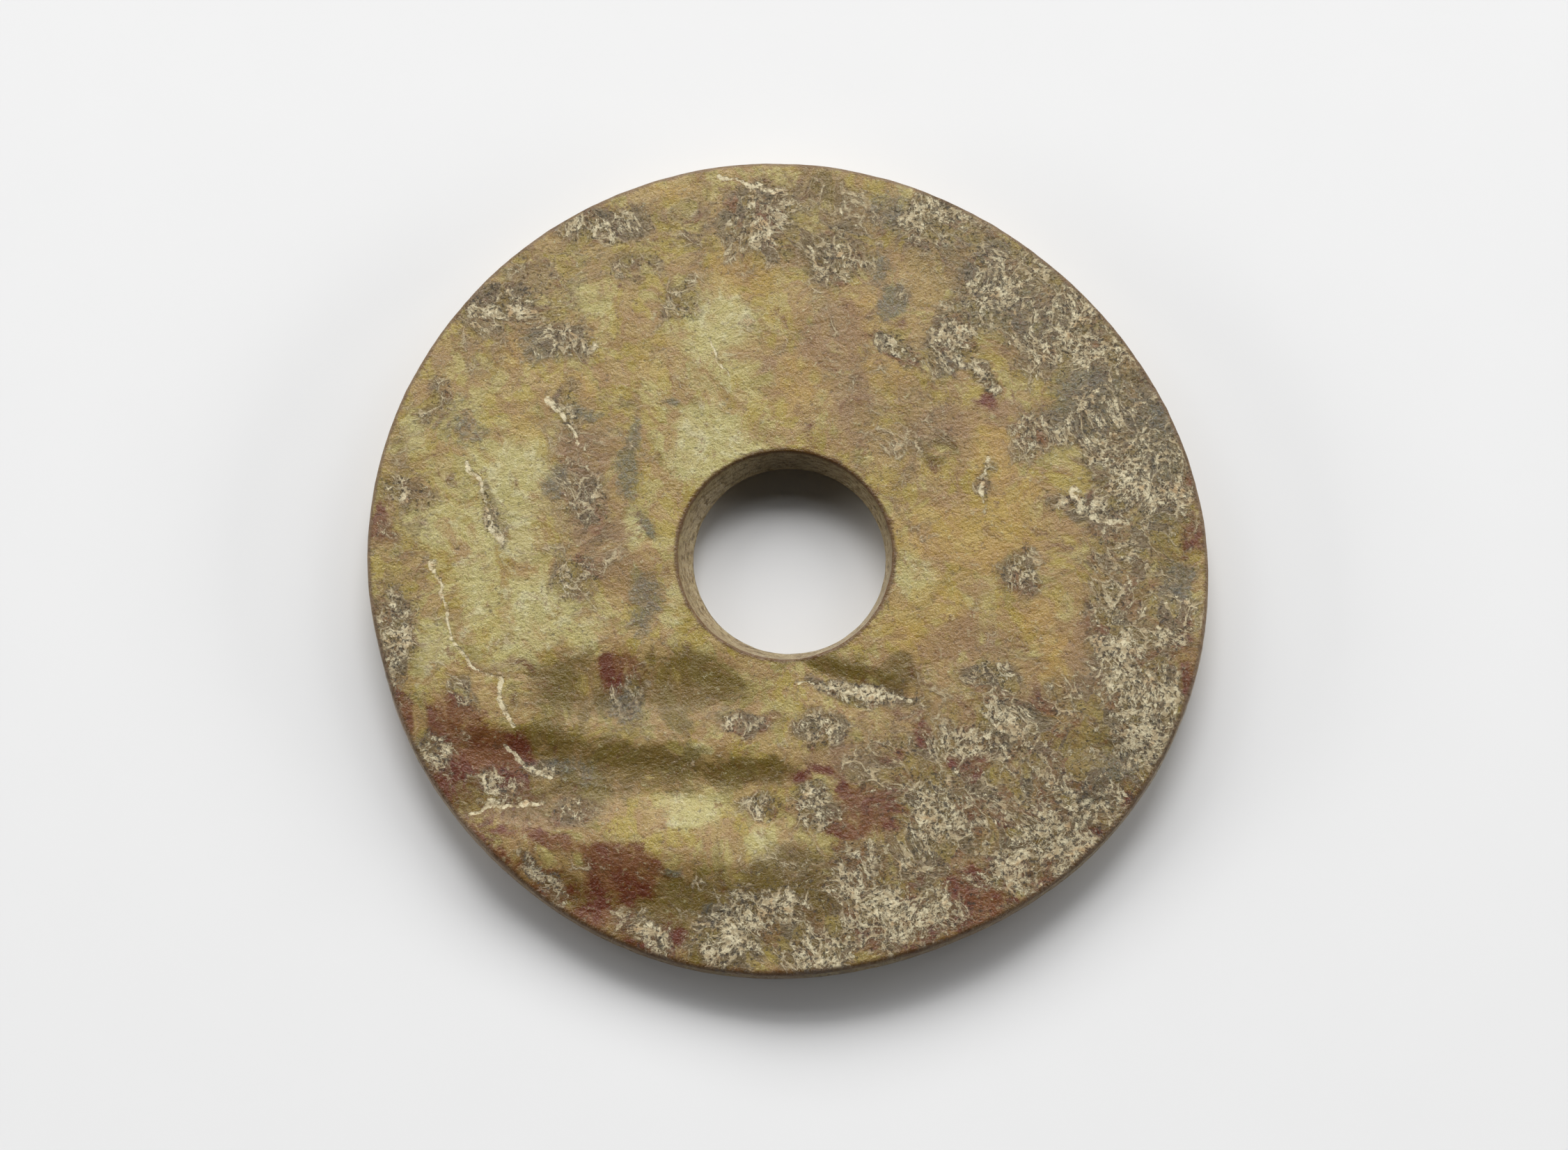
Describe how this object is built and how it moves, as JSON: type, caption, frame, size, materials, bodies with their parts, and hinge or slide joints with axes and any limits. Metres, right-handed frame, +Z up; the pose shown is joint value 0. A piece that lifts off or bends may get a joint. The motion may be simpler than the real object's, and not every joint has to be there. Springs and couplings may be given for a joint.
{
  "type": "ritual disc",
  "caption": "Flat ancient jade ring: a broad round disc with a central hole drilled from both faces, saw hollows in the upper face and a worn, gently rounded rim.",
  "frame": {"origin": "middle of the footprint, on the flat underside the disc lies on", "axes": "+Z up through the disc's thickness, +Y towards the plain half of the upper face, -Y towards its saw hollows"},
  "size_m": [0.1806, 0.181, 0.0105],
  "materials": {
    "jade": "satin polished nephrite, cloudy yellow-green and russet under lacy cream weathering"
  },
  "bodies": {
    "root": {"bi_disc": "jade"}
  },
  "joints": []
}
